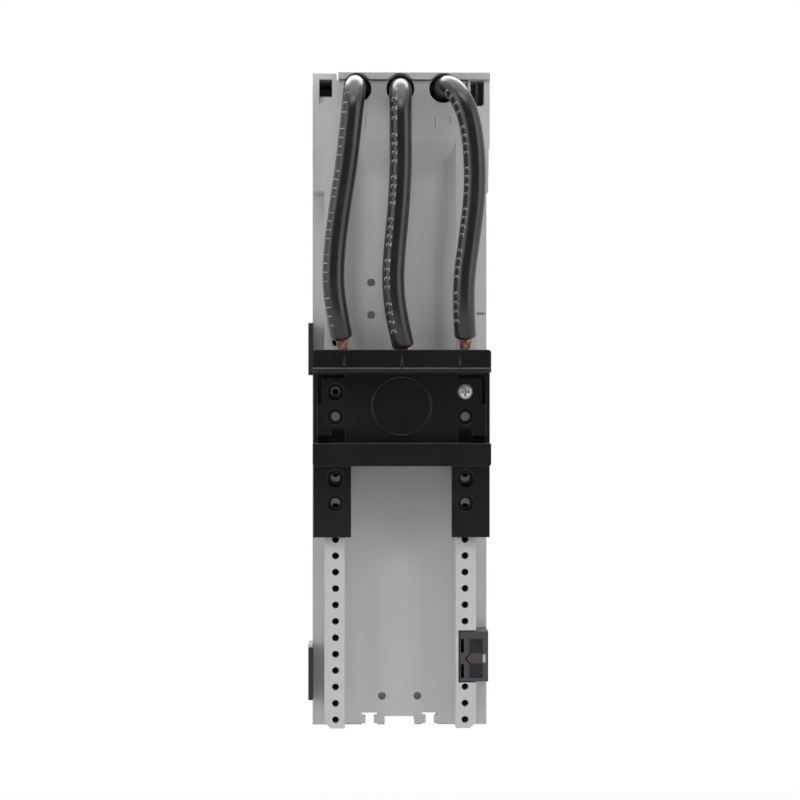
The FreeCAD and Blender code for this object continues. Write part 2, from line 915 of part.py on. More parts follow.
def rail_sides():
    solids = []
    for side in (-1, 1):
        edge = rail_shift + side * rail_half
        inner = rail_shift + side * leg_inner
        solids.append(box(edge, inner, rail_front_y, rail_back_y, leg_bottom, channel_bottom))
        solids.append(box(edge, edge - side * end_rib, rail_front_y - end_rib_rise, rail_front_y,
                          channel_bottom, channel_top))
        guide = side * (strip_out + guide_play)
        solids.append(box(guide, guide + side * guide_width, rail_back_y, rail_back_y + guide_depth,
                          channel_bottom, channel_top))
    return solids


def mounting_rail():
    seat = rail_front_y + counterbore_depth
    front = rail_front_y - over
    cutters = rail_corner_slots()
    for side in (-1, 1):
        for drop in rail_hole_drops:
            x = side * hole_x
            z = rail_hole_z - drop
            cutters.append(rod_y(x, z, rail_hole_diameter, front, rail_back_y + over))
            cutters.append(rod_y(x, z, counterbore_diameter, front, seat))
    return without(joined(rail_profile() + rail_sides() + [rail_ring()] + rail_wedges()), cutters)


def rail_screw():
    x = hole_x
    z = rail_hole_z
    seat = rail_front_y + counterbore_depth
    front = seat - screw_head_height
    deep = front + drive_depth
    half = drive_width / 2
    reach = drive_length / 2
    dome = Part.makeSphere(screw_dome, vec(x, front + screw_dome, z))
    head = rod_y(x, z, screw_head, front, seat).common(dome)
    shank = rod_y(x, z, screw_shank, seat, seat + screw_length)
    slot = box(x - reach, x + reach, front, deep, z - half, z + half)
    cross = box(x - half, x + half, front, deep, z - reach, z + reach)
    return without(joined([head, shank]), [slot, cross])


def coupler(z):
    # Plate outside the side wall, with a rim over the ledge and a tenon in the wall.
    half = coupler_height / 2
    gap = coupler_play / 2
    front = floor_y - coupler_rise
    back = floor_y + coupler_depth
    outer_x = -half_width - coupler_proud
    plate = box(outer_x, -half_width - gap, front, back, z - half, z + half)
    rim = box(outer_x, coupler_over - half_width, front, floor_y - gap, z - half, z + half)
    groove = box(outer_x - over, outer_x + coupler_groove, front + coupler_rim, back - coupler_rim,
                 z - half + coupler_rim, z + half - coupler_rim)
    return without(joined([plate, rim, coupler_tenon(z, 0.0)]), [groove])


def latch_tongue():
    # A moat around a pointed tongue, and the hole behind the tongue's root.
    half = tongue_height / 2
    tip = latch_inner_x + tongue_inset
    front = latch_front_y - over

    def outline(margin):
        shoulder = tip + tongue_taper
        return [
            (tip - margin, tongue_mid), (shoulder, tongue_mid + half + margin),
            (tongue_tail, tongue_mid + half + margin), (tongue_tail, tongue_mid - half - margin),
            (shoulder, tongue_mid - half - margin),
        ]

    moat = prism_y(outline(tongue_gap), front, latch_front_y + tongue_moat)
    moat = moat.cut(prism_y(outline(0.0), front - over, latch_front_y + latch_window_depth))
    back = latch_back_y + over
    slit = box(tongue_tail, tongue_tail + tongue_slit, front, back, slit_low, slit_high)
    side_hole = box(tongue_tail, latch_outer_x + over, latch_front_y + side_hole_drop, back,
                    slit_low - side_hole_fall, slit_high)
    return [moat, slit, side_hole]


def side_latch():
    block = box(latch_inner_x, latch_outer_x, latch_front_y, latch_back_y, latch_bottom, latch_top)
    front = latch_front_y - over
    deep = latch_front_y + latch_window_depth
    window_right = tongue_tail
    slot_left = latch_inner_x + latch_slot_inset
    cutters = latch_tongue()
    for side in (-1, 1):
        near = tongue_mid + side * (tongue_height + tongue_gap) / 2
        far = near + side * latch_window_height
        cutters.append(box(window_right - latch_window, window_right, front, deep, near, far))
        cutters.append(box(slot_left, slot_left + latch_slot, front, deep, near, far))
    foot_front = floor_back_y + latch_play
    foot_end = latch_foot_x + latch_foot
    neck = box(latch_foot_x, foot_end, latch_back_y, foot_front,
               latch_mid - latch_neck / 2, latch_mid + latch_neck / 2)
    foot = box(latch_foot_x, foot_end, foot_front, foot_front + latch_foot,
               latch_mid - latch_foot_width / 2, latch_mid + latch_foot_width / 2)
    return joined([without(block, cutters), neck, foot])


def conductor(x, z, side, lead_start):
    # Barrel on the lead's inner end, strip down the cavity on one side, and the pad that meets the busbar.
    barrel_y = lead_start.y
    barrel_top = lead_start.z - barrel_play
    barrel_low = barrel_top - barrel_length
    pad_low = z - pad_height / 2
    inner = x + side * strip_offset
    outer = inner + side * strip_thickness
    barrel = rod_z(x, barrel_y, 2 * barrel_radius, barrel_low, barrel_top)
    tab_start = x + side * (barrel_radius - barrel_wall)
    tab = box(tab_start, outer, barrel_y - tab_lap, floor_back_y, barrel_low, barrel_top)
    strip = box(inner, outer, floor_back_y, cover_y, pad_low, barrel_top)
    pad = box(outer - side * pad_width, outer, cover_y - pad_step, 0, pad_low, pad_low + pad_height)
    bore = rod_z(x, barrel_y, core_diameter + 2 * barrel_play, barrel_low - over, barrel_top + over)
    return without(joined([barrel, tab, strip, pad]), [bore])


def clamp_hook(x, z):
    low, high = hook_levels(z)
    mid = (low + high) / 2
    left = x - hook_width / 2
    right = x + hook_width / 2
    back = hook_rest + hook_finger
    shank = box(left, right, head_front_y, back, low, high)
    head = box(x - head_width / 2, x + head_width / 2, head_front_y, head_front_y + head_thickness,
               mid - head_height / 2, mid + head_height / 2)
    finger = box(left, right, hook_rest, back, low - hook_reach, high)
    return joined([shank, head, finger])


def hook_spring(x, z):
    low, high = hook_levels(z)
    start = head_front_y + head_thickness
    spring = coil(spring_radius, spring_wire, spring_turns, cover_y - start)
    spring.rotate(vec(0, 0, 0), vec(1, 0, 0), -90)
    spring.translate(vec(x, start, (low + high) / 2))
    return spring


def lock_slide():
    plate = box(-lock_width / 2, lock_width / 2, lock_front_y, lock_back_y, lock_bottom, lock_top)
    nose_low = lock_top - lock_nose
    nose = [
        (lock_back_y, lock_top), (lock_nose_reach - lock_chamfer, lock_top),
        (lock_nose_reach, lock_top - lock_chamfer_drop), (lock_nose_reach, nose_low),
        (lock_back_y, nose_low),
    ]
    grip_low = lock_bottom + grip_up
    grip = box(-grip_width / 2, grip_width / 2, lock_front_y - over, lock_back_y + over,
               grip_low, grip_low + grip_height)
    return without(joined([plate, prism_x(nose, -lock_nose_width / 2, lock_nose_width / 2)]), [grip])


def lock_spring():
    radius = (lock_thickness - lock_spring_wire) / 2
    spring = coil(radius, lock_spring_wire, lock_spring_turns, lock_spring_length)
    spring.translate(vec(0, (lock_front_y + lock_back_y) / 2, cavity_bottom))
    return spring


def main():
    os.makedirs("parts", exist_ok=True)
    parts = {
        "housing": housing(),
        "rear_cover": rear_cover(),
        "cover_screws": cover_screws(),
        "lead_clamp_bar": lead_clamp_bar(),
        "mounting_rail": mounting_rail(),
        "rail_screw": rail_screw(),
        "coupler_upper": coupler(coupler_z[0]),
        "coupler_lower": coupler(coupler_z[1]),
        "side_latch": side_latch(),
        "lock_slide": lock_slide(),
        "lock_spring": lock_spring(),
    }
    for number in range(3):
        label = str(number + 1)
        x = phase_x[number]
        z = bar_z[number]
        parts["lead_" + label] = lead(number)
        parts["lead_core_" + label] = lead_core(number)
        parts["conductor_" + label] = conductor(x, z, strip_side[number], lead_points(number)[0])
        parts["clamp_hook_" + label] = clamp_hook(x, z)
        parts["hook_spring_" + label] = hook_spring(x, z)
    for name, shape in parts.items():
        print(name, shape.isValid(), len(shape.Solids), round(shape.Volume, 1))
        shape.exportStep("parts/" + name + ".step")


main()
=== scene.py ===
import bmesh
import bpy
import json
import math
import random
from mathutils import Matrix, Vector


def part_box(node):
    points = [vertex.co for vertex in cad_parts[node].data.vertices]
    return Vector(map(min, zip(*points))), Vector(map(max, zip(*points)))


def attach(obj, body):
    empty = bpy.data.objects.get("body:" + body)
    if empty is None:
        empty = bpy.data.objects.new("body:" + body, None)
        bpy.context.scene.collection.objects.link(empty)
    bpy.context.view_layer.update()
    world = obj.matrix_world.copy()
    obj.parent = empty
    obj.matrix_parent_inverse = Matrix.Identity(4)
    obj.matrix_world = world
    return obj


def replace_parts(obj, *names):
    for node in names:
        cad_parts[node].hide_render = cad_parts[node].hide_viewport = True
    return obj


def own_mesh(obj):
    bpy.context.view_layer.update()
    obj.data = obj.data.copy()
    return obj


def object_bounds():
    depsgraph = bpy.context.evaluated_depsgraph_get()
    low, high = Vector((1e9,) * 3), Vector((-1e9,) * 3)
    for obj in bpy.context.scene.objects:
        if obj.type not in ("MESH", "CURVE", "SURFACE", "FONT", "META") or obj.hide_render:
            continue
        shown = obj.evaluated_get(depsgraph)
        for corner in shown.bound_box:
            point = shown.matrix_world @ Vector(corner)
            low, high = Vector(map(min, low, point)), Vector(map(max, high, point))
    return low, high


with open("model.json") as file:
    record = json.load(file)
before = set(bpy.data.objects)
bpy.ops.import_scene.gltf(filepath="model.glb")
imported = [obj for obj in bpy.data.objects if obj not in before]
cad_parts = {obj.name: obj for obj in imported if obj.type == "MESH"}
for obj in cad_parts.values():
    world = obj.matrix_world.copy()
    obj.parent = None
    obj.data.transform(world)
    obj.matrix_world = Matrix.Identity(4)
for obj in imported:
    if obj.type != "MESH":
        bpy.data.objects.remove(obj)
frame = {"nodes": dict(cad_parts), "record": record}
cadLow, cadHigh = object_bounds()
nodes = frame["nodes"]
root = "adapter"
print("frame loaded:", len(nodes), "nodes")


class Tap:
    # an output socket of a node tree; sums with it add Math nodes
    def __init__(self, finish, socket):
        self.finish = finish
        self.socket = socket

    def calc(self, operation, *values):
        return self.finish.add("ShaderNodeMath", {"operation": operation}, dict(enumerate(values)))

    def __add__(self, other):
        return self.calc("ADD", self, other)

    def __radd__(self, other):
        return self.calc("ADD", other, self)

    def __sub__(self, other):
        return self.calc("SUBTRACT", self, other)

    def __rsub__(self, other):
        return self.calc("SUBTRACT", other, self)

    def __mul__(self, other):
        return self.calc("MULTIPLY", self, other)

    def __rmul__(self, other):
        return self.calc("MULTIPLY", other, self)

    def clamped(self):
        return self.finish.add("ShaderNodeClamp", inputs={"Value": self})


class Finish:
    # a node tree with one way to add a node
    def __init__(self, tree):
        self.tree = tree

    def feed(self, socket, value):
        if isinstance(value, Tap):
            self.tree.links.new(value.socket, socket)
        else:
            socket.default_value = value

    def add(self, kind, settings=None, inputs=None, output=0):
        node = self.tree.nodes.new(kind)
        for key, value in (settings or {}).items():
            setattr(node, key, value)
        for key, value in (inputs or {}).items():
            self.feed(node.inputs[key], value)
        return Tap(self, node.outputs[output]) if node.outputs else None

    def place(self, stretch=None):
        here = self.add("ShaderNodeTexCoord", output="Object")
        if stretch:
            here = self.add("ShaderNodeMapping", inputs={"Vector": here, "Scale": stretch})
        return here

    def noise(self, scale, detail=2.0, stretch=None):
        inputs = {"Vector": self.place(stretch), "Scale": scale, "Detail": detail}
        return self.add("ShaderNodeTexNoise", inputs=inputs)

    def blend(self, factor, first, second):
        settings = {"data_type": "RGBA"}
        return self.add("ShaderNodeMix", settings, {0: factor, 6: first, 7: second}, output=2)

    def ramp(self, value, low, high):
        # 0 below low, 1 above high
        settings = {"interpolation_type": "SMOOTHSTEP"}
        return self.add("ShaderNodeMapRange", settings, {"Value": value, "From Min": low, "From Max": high})

    def bump(self, height, distance, under=None):
        inputs = {"Height": height, "Distance": distance}
        if under:
            inputs["Normal"] = under
        return self.add("ShaderNodeBump", inputs=inputs)

    def softEdge(self, radius):
        # normal of the surface with its edges rounded
        return self.add("ShaderNodeBevel", {"samples": 6}, {"Radius": radius})

    def nearEdge(self, rounded, low, high):
        # 1 where the rounded normal leaves the plain one
        plain = self.add("ShaderNodeNewGeometry", output="Normal")
        settings = {"operation": "DOT_PRODUCT"}
        along = self.add("ShaderNodeVectorMath", settings, {0: rounded, 1: plain}, output="Value")
        return self.ramp(1 - along, low, high)


def newFinish(name, fixed, varying):
    material = bpy.data.materials.new(name)
    material.use_nodes = True
    finish = Finish(material.node_tree)
    surface = material.node_tree.nodes["Principled BSDF"]
    for socket, value in {**fixed, **varying(finish)}.items():
        finish.feed(surface.inputs[socket], value)
    return material


def grey(level, tint=(1.0, 1.0, 1.0)):
    return (level * tint[0], level * tint[1], level * tint[2], 1.0)


# moulded plastics: level is the mean colour, grain the texture's size in metres, smear how strongly the scuffs and
# the painted edge highlight lighten it
plasticLooks = {
    "housing_grey": {
        "level": 0.475, "tint": (1.0, 0.995, 1.005), "spread": 0.05, "rough": 0.52, "roughSpread": 0.10,
        "grain": 0.00022, "grainDepth": 0.000010, "edge": 0.00028, "smearAndSheen": 0.04,
    },
    "cover_grey": {
        "level": 0.455, "tint": (1.0, 0.995, 1.005), "spread": 0.05, "rough": 0.55, "roughSpread": 0.10,
        "grain": 0.00026, "grainDepth": 0.000012, "edge": 0.00028, "smearAndSheen": 0.04,
    },
    # the housing grey made darker: painted shade on the clamp bar
    "clamp_bar_shaded_grey": {
        "level": 0.415, "tint": (1.0, 0.995, 1.005), "spread": 0.05, "rough": 0.52, "roughSpread": 0.10,
        "grain": 0.00022, "grainDepth": 0.000010, "edge": 0.00028, "smearAndSheen": 0.04,
    },
    "rail_black": {
        "level": 0.0050, "tint": (1.04, 0.98, 1.02), "spread": 0.30, "rough": 0.34, "roughSpread": 0.14,
        "grain": 0.00030, "grainDepth": 0.000016, "edge": 0.00032, "smearAndSheen": 0.25,
    },
    "coupler_black": {
        "level": 0.022, "tint": (1.0, 1.0, 1.03), "spread": 0.20, "rough": 0.42, "roughSpread": 0.12,
        "grain": 0.00026, "grainDepth": 0.000010, "edge": 0.00025, "smearAndSheen": 0.15,
    },
    "latch_grey": {
        "level": 0.047, "tint": (1.03, 0.97, 1.06), "spread": 0.12, "rough": 0.46, "roughSpread": 0.12,
        "grain": 0.00026, "grainDepth": 0.000010, "edge": 0.00022, "smearAndSheen": 0.10,
    },
}
# noise scales that all plastics share: tone over a face, flow of the melt along the part, scuffs across it; edges
# are lightened partly as rubbed wear and partly as a painted highlight
plasticNoise = {
    "cloud": 55.0, "flow": 420.0, "flowStretch": (1.0, 1.0, 0.12), "flowRelief": 0.4,
    "scuff": 900.0, "scuffStretch": (0.35, 1.0, 1.0), "scuffRange": (0.62, 0.74),
    "edgeRange": (0.02, 0.25), "edgeWearAndSheen": 0.4, "wornAndSheenGain": 3.0,
    "cloudShare": 0.6, "flowShare": 0.25, "grainShare": 0.15,
}


def mouldedPlastic(name):
    look = plasticLooks[name]

    def varying(finish):
        cloud = finish.noise(plasticNoise["cloud"], 3.0)
        flow = finish.noise(plasticNoise["flow"], 3.0, plasticNoise["flowStretch"])
        grain = finish.noise(1.0 / look["grain"], 2.0)
        scratches = finish.noise(plasticNoise["scuff"], 4.0, plasticNoise["scuffStretch"])
        scuff = finish.ramp(scratches, *plasticNoise["scuffRange"])
        mixed = cloud * plasticNoise["cloudShare"] + flow * plasticNoise["flowShare"]
        tone = (mixed + grain * plasticNoise["grainShare"]).clamped()
        dark = grey(look["level"] * (1.0 - look["spread"]), look["tint"])
        light = grey(look["level"] * (1.0 + look["spread"]), look["tint"])
        # the worn colour goes on scuffs, which are wear, and on edges, where it is partly rubbed wear and partly a
        # painted highlight
        worn = grey(look["level"] * (1.0 + plasticNoise["wornAndSheenGain"] * look["smearAndSheen"]), look["tint"])
        rounded = finish.softEdge(look["edge"])
        edge = finish.nearEdge(rounded, *plasticNoise["edgeRange"])
        wear = (scuff + edge * (plasticNoise["edgeWearAndSheen"] + grain)).clamped()
        colour = finish.blend(wear * look["smearAndSheen"], finish.blend(tone, dark, light), worn)
        roughness = look["rough"] + (grain - 0.5) * look["roughSpread"] + (cloud - 0.5) * look["roughSpread"]
        relief = grain + flow * plasticNoise["flowRelief"]
        return {
            "Base Color": colour,
            "Roughness": roughness.clamped(),
            "Normal": finish.bump(relief, look["grainDepth"], rounded),
        }

    return newFinish(name, {"IOR": 1.5}, varying)


# lead insulation, with fine lines from drawing and a little dust
sheathLook = {
    "level": 0.013, "darkest": 0.8, "lightest": 1.25, "tint": (1.0, 1.0, 1.06),
    "rough": 0.26, "cloudRough": 0.12, "fineRough": 0.08,
    "drawLine": 0.00035, "drawStretch": (1.0, 1.0, 0.05), "drawDepth": 0.000006, "fineRelief": 0.3,
    "cloud": 120.0, "fine": 5200.0, "dust": 1500.0, "dustRange": (0.60, 0.80), "dustLevel": 0.12, "dustShare": 0.12,
}


def leadSheath():
    def varying(finish):
        cloud = finish.noise(sheathLook["cloud"], 3.0)
        lines = finish.noise(1.0 / sheathLook["drawLine"], 2.0, sheathLook["drawStretch"])
        fine = finish.noise(sheathLook["fine"], 2.0)
        dust = finish.ramp(finish.noise(sheathLook["dust"], 3.0), *sheathLook["dustRange"])
        dark = grey(sheathLook["level"] * sheathLook["darkest"], sheathLook["tint"])
        light = grey(sheathLook["level"] * sheathLook["lightest"], sheathLook["tint"])
        clean = finish.blend(cloud, dark, light)
        colour = finish.blend(dust * sheathLook["dustShare"], clean, grey(sheathLook["dustLevel"]))
        roughness = sheathLook["rough"] + (cloud - 0.5) * sheathLook["cloudRough"]
        roughness = roughness + (fine - 0.5) * sheathLook["fineRough"]
        relief = lines + fine * sheathLook["fineRelief"]
        return {
            "Base Color": colour,
            "Roughness": roughness.clamped(),
            "Normal": finish.bump(relief, sheathLook["drawDepth"]),
        }

    return newFinish("lead_insulation", {"IOR": 1.52}, varying)


# ink of the core numbers, worn off in places
inkLook = {
    "worn": 0.05, "fresh": 0.42, "wear": 2600.0, "wearRange": (0.38, 0.58), "rough": 0.55, "freshRough": 0.15,
}


def printInk():
    def varying(finish):
        fresh = finish.ramp(finish.noise(inkLook["wear"], 4.0), *inkLook["wearRange"])
        colour = finish.blend(fresh, grey(inkLook["worn"]), grey(inkLook["fresh"]))
        return {"Base Color": colour, "Roughness": inkLook["rough"] + fresh * inkLook["freshRough"]}

    return newFinish("lead_ink", {"IOR": 1.45}, varying)


# bare and plated metals: spots is the noise scale of the dull patches
metalLooks = {
    "bare_copper": {
        "bright": (0.57, 0.345, 0.265), "dull": (0.26, 0.15, 0.115),
        "rough": 0.40, "spots": 900.0, "metallic": 0.75,
    },
    "tinned_copper": {
        "bright": (0.70, 0.67, 0.62), "dull": (0.48, 0.45, 0.41),
        "rough": 0.30, "spots": 300.0, "metallic": 1.0,
    },
    "hook_steel": {
        "bright": (0.66, 0.65, 0.63), "dull": (0.46, 0.45, 0.44),
        "rough": 0.28, "spots": 350.0, "metallic": 1.0,
    },
    "spring_steel": {
        "bright": (0.52, 0.52, 0.53), "dull": (0.30, 0.30, 0.31),
        "rough": 0.30, "spots": 700.0, "metallic": 1.0,
    },
    "zinc_steel": {
        "bright": (0.82, 0.83, 0.85), "dull": (0.52, 0.53, 0.56),
        "rough": 0.22, "spots": 800.0, "metallic": 0.6,
    },
}
# what all metals share: dull patches, brush lines and rounded edges
metalShare = {
    "spotRange": (0.36, 0.66), "dullRough": 0.18, "brushRough": 0.12,
    "brush": 2400.0, "brushStretch": (1.0, 1.0, 0.08), "brushRelief": 0.6, "fine": 5000.0, "fineRelief": 0.4,
    "depth": 0.000006, "edge": 0.00012,
}


def platedMetal(name):
    look = metalLooks[name]

    def varying(finish):
        spots = finish.ramp(finish.noise(look["spots"], 4.0), *metalShare["spotRange"])
        brush = finish.noise(metalShare["brush"], 2.0, metalShare["brushStretch"])
        fine = finish.noise(metalShare["fine"], 2.0)
        colour = finish.blend(spots, (*look["dull"], 1.0), (*look["bright"], 1.0))
        roughness = look["rough"] + (1 - spots) * metalShare["dullRough"]
        roughness = roughness + (brush - 0.5) * metalShare["brushRough"]
        relief = brush * metalShare["brushRelief"] + fine * metalShare["fineRelief"]
        rounded = finish.softEdge(metalShare["edge"])
        return {
            "Base Color": colour,
            "Roughness": roughness.clamped(),
            "Normal": finish.bump(relief, metalShare["depth"], rounded),
        }

    return newFinish(name, {"Metallic": look["metallic"]}, varying)


finishes = {name: mouldedPlastic(name) for name in plasticLooks}
finishes.update({name: platedMetal(name) for name in metalLooks})
finishes["lead_insulation"] = leadSheath()
finishes["lead_ink"] = printInk()
print("finishes made:", len(finishes))


# CAD nodes: each takes the finish that its slot names, apart from the bar, which takes a darker copy of the housing
# grey as painted shade
slotOf = {part["node"]: part["material_slot"] for part in frame["record"]["subparts"]}
ownFinish = {"lead_clamp_bar": "clamp_bar_shaded_grey"}


def dressNode(name):
    node = nodes[name]
    node.data.materials.clear()
    node.data.materials.append(finishes[ownFinish.get(name, slotOf[name])])


for nodeName in nodes:
    dressNode(nodeName)
print("nodes dressed:", len(nodes))


# leads: each point is right, away from the deck and up from its outlet, in metres
leadSizes = {
    "diameter": 0.0067, "bareLength": 0.0048,
    "outletPitch": 0.0131, "deckFront": -0.026, "outletUp": 0.095,
    "lengths": (0.1051, 0.1061, 0.1059),
    "endShape": ((0.0016, 1.0), (0.0009, 1.0), (0.0003, 0.97), (0.0, 0.82)),   # distance from the cut, width
    "steps": 16, "sides": 12,
}
leadRoutes = (
    (
        (0.0, -0.0103, -0.0155), (0.0, -0.0103, -0.0080), (0.0, -0.0052, -0.0006), (-0.0007, 0.0036, 0.0011),
        (-0.0011, 0.0096, -0.0041), (-0.0020, 0.0104, -0.0128), (-0.0033, 0.0094, -0.0243),
        (-0.0054, 0.0082, -0.0372), (-0.0070, 0.0074, -0.0496), (-0.0074, 0.0070, -0.0606),
        (-0.0060, 0.0061, -0.0694), (-0.0047, 0.0041, -0.0762),
    ),
    (
        (0.0, -0.0103, -0.0155), (0.0, -0.0103, -0.0080), (0.0, -0.0052, -0.0006), (0.0, 0.0034, 0.0002),
        (-0.0001, 0.0092, -0.0052), (-0.0001, 0.0100, -0.0138), (0.0, 0.0092, -0.0243),
        (-0.0006, 0.0082, -0.0366), (-0.0018, 0.0074, -0.0486), (-0.0025, 0.0070, -0.0598),
        (-0.0013, 0.0063, -0.0696), (0.0009, 0.0041, -0.0789),
    ),
    (
        (0.0, -0.0103, -0.0155), (0.0, -0.0103, -0.0080), (0.0, -0.0052, -0.0006), (0.0007, 0.0032, 0.0009),
        (0.0046, 0.0086, -0.0026), (0.0077, 0.0100, -0.0106), (0.0092, 0.0092, -0.0214),
        (0.0092, 0.0082, -0.0338), (0.0076, 0.0074, -0.0464), (0.0060, 0.0070, -0.0584),
        (0.0060, 0.0062, -0.0682), (0.0066, 0.0041, -0.0760),
    ),
)


def addPiece(name, data, material, body=root):
    piece = bpy.data.objects.new(name, data)
    bpy.context.scene.collection.objects.link(piece)
    data.materials.append(finishes[material])
    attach(piece, body)
    return piece


def outletCentre(number):
    return Vector(((number - 1) * leadSizes["outletPitch"], leadSizes["deckFront"], leadSizes["outletUp"]))


def leadPoints(number):
    centre = outletCentre(number)
    return [centre + Vector((right, -out, up)) for right, out, up in leadRoutes[number]]


def roundedEnd(points):
    # closer points before the cut end, where the sheath narrows
    back = (points[-2] - points[-1]).normalized()
    return points[:-1] + [points[-1] + back * inset for inset, width in leadSizes["endShape"]]


def smoothCurve(name, points, endShape=()):
    curve = bpy.data.curves.new(name, "CURVE")
    curve.dimensions = "3D"
    spline = curve.splines.new("NURBS")
    spline.points.add(len(points) - 1)
    for spot, point in zip(spline.points, points):
        spot.co = (*point, 1.0)
    for spot, (inset, width) in zip(reversed(spline.points), reversed(endShape)):
        spot.radius = width
    spline.order_u = 3
    spline.use_endpoint_u = True
    spline.resolution_u = leadSizes["steps"]
    return curve


def curveLine(curve):
    # points along a curve that has no bevel
    holder = bpy.data.objects.new("line", curve)
    mesh = bpy.data.meshes.new_from_object(holder)
    line = [vertex.co.copy() for vertex in mesh.vertices]
    bpy.data.objects.remove(holder)
    bpy.data.meshes.remove(mesh)
    return line


def meshFromCurve(name, curve):
    holder = bpy.data.objects.new(name, curve)
    mesh = bpy.data.meshes.new_from_object(holder)
    mesh.name = name
    bpy.data.objects.remove(holder)
    for face in mesh.polygons:
        face.use_smooth = True
    return mesh


# bare strands: each ring has a count and a radius
strandSizes = {
    "rings": ((1, 0.0), (6, 0.00079), (12, 0.00156)), "diameter": 0.00078, "twist": 1.5, "steps": 9,
    "stray": 0.08, "shorter": 0.06, "crimpSplay": 0.0, "cutSplay": 0.10, "drift": (0.2, 1.0), "seed": 3, "sides": 2,
}


def strandSplines(curve, start, direction, splay, rng):
    side = direction.orthogonal().normalized()
    other = direction.cross(side)
    for count, radius in strandSizes["rings"]:
        for index in range(count):
            turn = 2 * math.pi * index / count + rng.uniform(-strandSizes["stray"], strandSizes["stray"])
            reach = leadSizes["bareLength"] * (1.0 - strandSizes["shorter"] * rng.random())
            drift = splay * rng.uniform(*strandSizes["drift"])
            spline = curve.splines.new("POLY")
            spline.points.add(strandSizes["steps"] - 1)
            for step, spot in enumerate(spline.points):
                share = step / (strandSizes["steps"] - 1)
                angle = turn + strandSizes["twist"] * share
                wide = radius * (1.0 + drift * share * share)
                around = side * math.cos(angle) + other * math.sin(angle)
                spot.co = (*(start + direction * (reach * share) + around * wide), 1.0)


def bareStrands(number, points):
    rng = random.Random(number + strandSizes["seed"])
    curve = bpy.data.curves.new("strands", "CURVE")
    curve.dimensions = "3D"
    curve.bevel_depth = strandSizes["diameter"] / 2
    curve.bevel_resolution = strandSizes["sides"]
    curve.use_fill_caps = True
    for end, before, splay in ((0, 1, "crimpSplay"), (-1, -2, "cutSplay")):
        direction = (points[end] - points[before]).normalized()
        strandSplines(curve, points[end], direction, strandSizes[splay], rng)
    name = "lead_%d_strands" % (number + 1)
    piece = addPiece(name, meshFromCurve(name, curve), "bare_copper")
    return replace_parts(piece, "lead_core_%d" % (number + 1))


digitSteps = 3   # straight runs in a curve of a digit


def flatDigit(text, height):
    letter = bpy.data.curves.new("digit", "FONT")
    letter.body = text
    letter.size = height
    letter.align_x = "CENTER"
    letter.align_y = "CENTER"
    letter.resolution_u = digitSteps
    return meshFromCurve("digit", letter)


# core numbers in groups along each lead; angles turn them towards its left side
numberLook = {
    "height": 0.0029, "pitch": 0.0026, "group": 4, "gap": 0.0022, "start": 0.029, "end": 0.102,
    "lift": 0.00003, "cut": 0.00025, "angles": (0.78, 0.60, 0.83),
}


def alongLine(line, distance):
    walked = 0.0
    for near, far in zip(line, line[1:]):
        step = (far - near).length
        if walked + step >= distance:
            return near.lerp(far, (distance - walked) / step), (far - near).normalized()
        walked += step
    return line[-1], (line[-1] - line[-2]).normalized()


def wrapOnLead(corner, line, distance, angle):
    # corner is across the digit's reading direction; digits read up the lead
    point, along = alongLine(line, distance - corner.x)
    front = Vector((0.0, -1.0, 0.0))
    front = (front - along * front.dot(along)).normalized()
    left = along.cross(front)
    radius = leadSizes["diameter"] / 2 + numberLook["lift"]
    turn = angle + corner.y / radius
    return point + (front * math.cos(turn) + left * math.sin(turn)) * radius


def slicedDigit(text):
    # cut into strips that can bend round the lead
    digit = bmesh.new()
    digit.from_mesh(flatDigit(text, numberLook["height"]))
    cuts = int(numberLook["height"] / numberLook["cut"])
    for index in range(-cuts, cuts + 1):
        everything = digit.verts[:] + digit.edges[:] + digit.faces[:]
        plane = (0.0, index * numberLook["cut"], 0.0)
        bmesh.ops.bisect_plane(digit, geom=everything, plane_co=plane, plane_no=(0.0, 1.0, 0.0))
    return digit


def joinDigit(whole, digit, placeOf):
    made = {vertex: whole.verts.new(placeOf(vertex.co)) for vertex in digit.verts}
    for face in digit.faces:
        whole.faces.new([made[vertex] for vertex in face.verts])
    digit.free()


def finishedMesh(name, whole):
    mesh = bpy.data.meshes.new(name)
    whole.to_mesh(mesh)
    whole.free()
    return mesh


def leadNumbers(number, line):
    name = "lead_%d_numbers" % (number + 1)
    angle = numberLook["angles"][number]
    whole = bmesh.new()
    distance = numberLook["start"]
    count = 0
    while distance < numberLook["end"]:
        joinDigit(whole, slicedDigit(str(number + 1)), lambda corner: wrapOnLead(corner, line, distance, angle))
        count += 1
        distance += numberLook["pitch"]
        if count % numberLook["group"] == 0:
            distance += numberLook["gap"]
    return addPiece(name, finishedMesh(name, whole), "lead_ink")


def makeLead(number):
    name = "lead_%d" % (number + 1)
    points = leadPoints(number)
    route = roundedEnd(points)
    line = curveLine(smoothCurve("line", route))
    curve = smoothCurve(name + "_sheath", route, leadSizes["endShape"])
    curve.bevel_depth = leadSizes["diameter"] / 2
    curve.bevel_resolution = leadSizes["sides"]
    curve.use_fill_caps = True
    sheath = addPiece(name + "_sheath", curve, "lead_insulation")
    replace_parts(sheath, name)
    strands = bareStrands(number, points)
    digits = leadNumbers(number, line)


for leadNumber in range(len(leadRoutes)):
    makeLead(leadNumber)
print("leads laid:", len(leadRoutes))


# springs shorten as their joints move, but the coils here are wound at full length and do not follow: keep is the
# share of the length that is left
springLooks = {
    "hook_spring": {"wire": 0.0006, "turns": 3.0, "keep": 0.333},
    "lock_spring": {"wire": 0.00055, "turns": 4.5, "keep": 0.462},
}
turnSteps = 28   # straight runs in one turn
wireSides = 3


